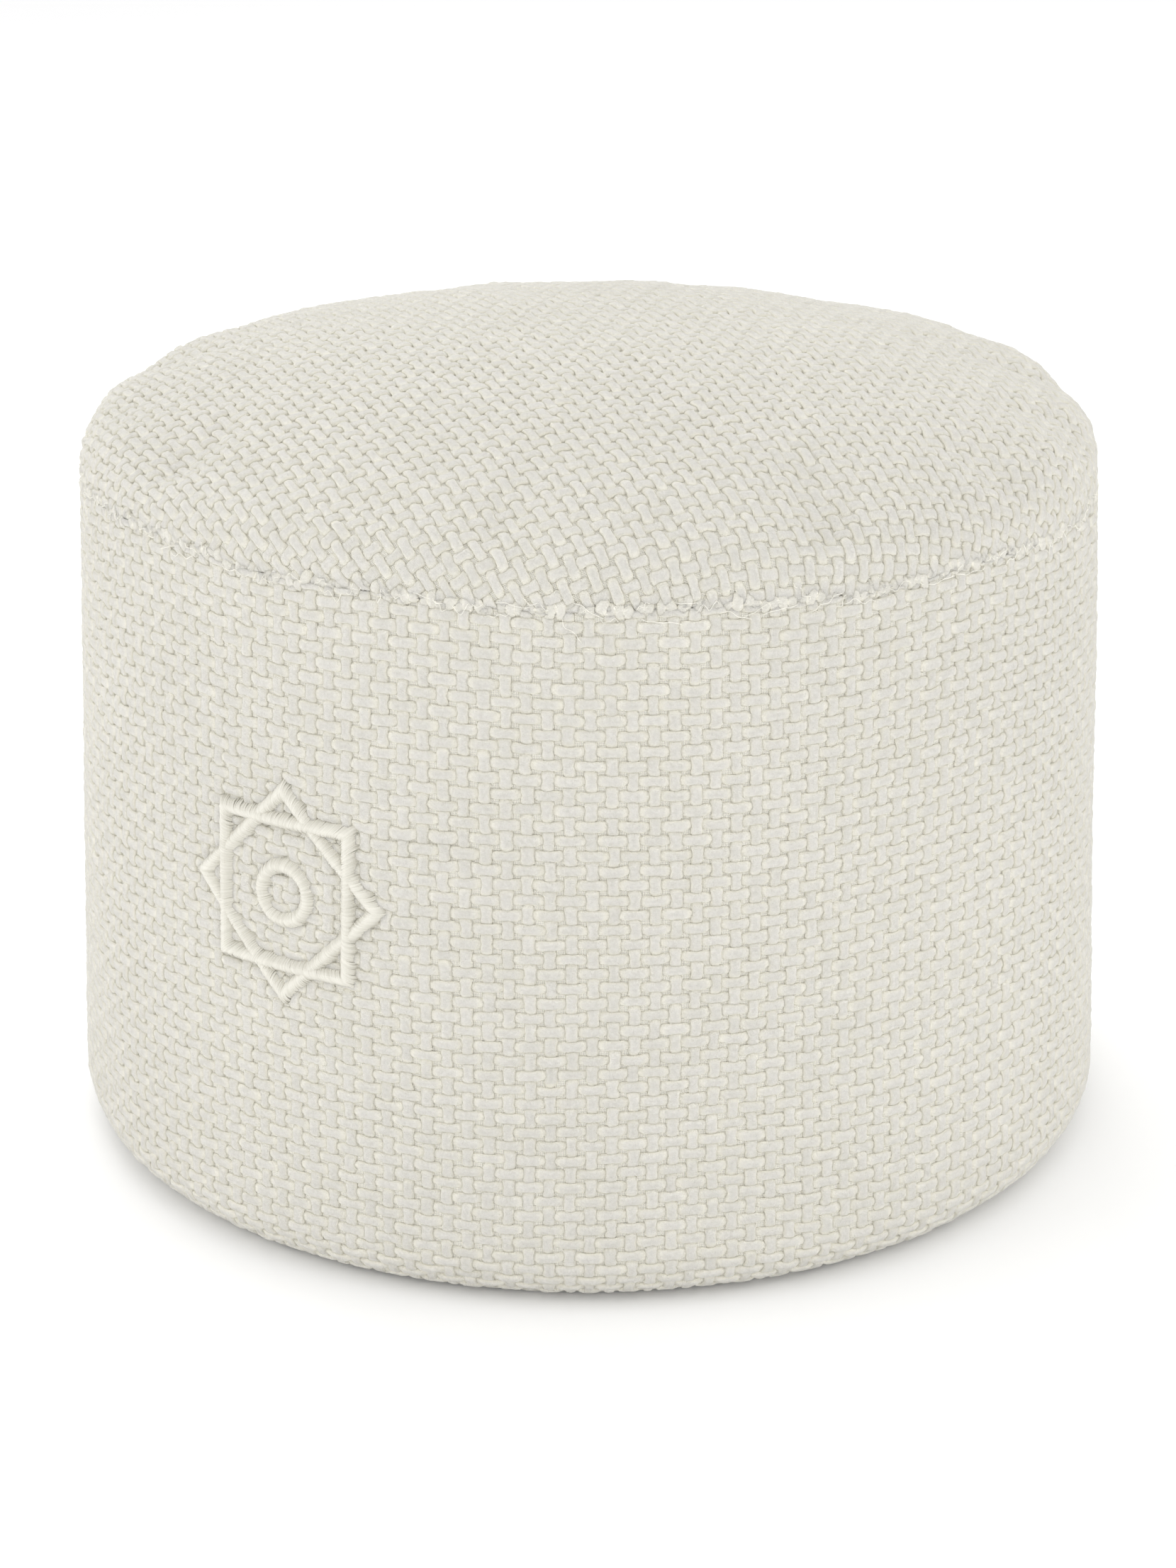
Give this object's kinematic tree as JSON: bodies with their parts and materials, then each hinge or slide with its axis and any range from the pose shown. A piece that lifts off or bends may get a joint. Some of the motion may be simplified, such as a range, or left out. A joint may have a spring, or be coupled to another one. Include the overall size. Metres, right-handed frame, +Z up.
{
  "type": "round floor pouf",
  "caption": "Round, slightly tapered floor pouf in chunky woven fabric, with a domed top, an embroidered star and a zip across the underside.",
  "frame": {"origin": "middle of the base, on the floor", "axes": "+Z up; the embroidered side faces -Y; the zip on the underside runs along X and is closed when its slider is at the +X end"},
  "size_m": [0.3, 0.3, 0.229],
  "materials": {
    "cover_weave": "chunky plain-woven chenille, warm off-white, soft pile",
    "sewing_thread": "spun polyester thread",
    "embroidery_thread": "rayon satin stitch, slight sheen",
    "backing": "non-woven stabiliser",
    "zip_tape": "fine herringbone polyester tape",
    "zip_coil": "semi-matt nylon",
    "zip_metal": "satin enamel on zinc alloy",
    "liner_cotton": "plain unbleached cotton",
    "liner_thread": "cotton thread",
    "filling": "loose hulls"
  },
  "bodies": {
    "pouf": {"cover_top_panel": "cover_weave", "cover_side_band": "cover_weave", "cover_base_panel_front": "cover_weave", "cover_base_panel_back": "cover_weave", "seam_thread_top": "sewing_thread", "seam_thread_base": "sewing_thread", "seam_thread_back": "sewing_thread", "embroidery_star": "embroidery_thread", "embroidery_centre": "embroidery_thread", "embroidery_backing": "backing", "zip_tape_front": "zip_tape", "zip_tape_back": "zip_tape", "zip_coil_front": "zip_coil", "zip_coil_back": "zip_coil", "zip_stitches": "sewing_thread", "zip_top_stops": "zip_metal", "zip_base_stop": "zip_metal", "liner_top_panel": "liner_cotton", "liner_side_band": "liner_cotton", "liner_base_panel": "liner_cotton", "liner_thread_top": "liner_thread", "liner_thread_base": "liner_thread", "filling": "filling"},
    "slider": {"zip_slider": "zip_metal"},
    "pull": {"zip_pull_tab": "zip_metal"}
  },
  "joints": [
    {"name": "zip_slide", "type": "slide", "parent": "pouf", "child": "slider", "axis": [1, 0, 0], "range_m": [-0.2255, 0], "deforming": ["zip_coil_front", "zip_coil_back"]},
    {"name": "pull_tab_hinge", "type": "hinge", "parent": "slider", "child": "pull", "pos_m": [0.119, 0, 0.00142], "axis": [0, -1, 0], "range_deg": [0, 110]}
  ]
}
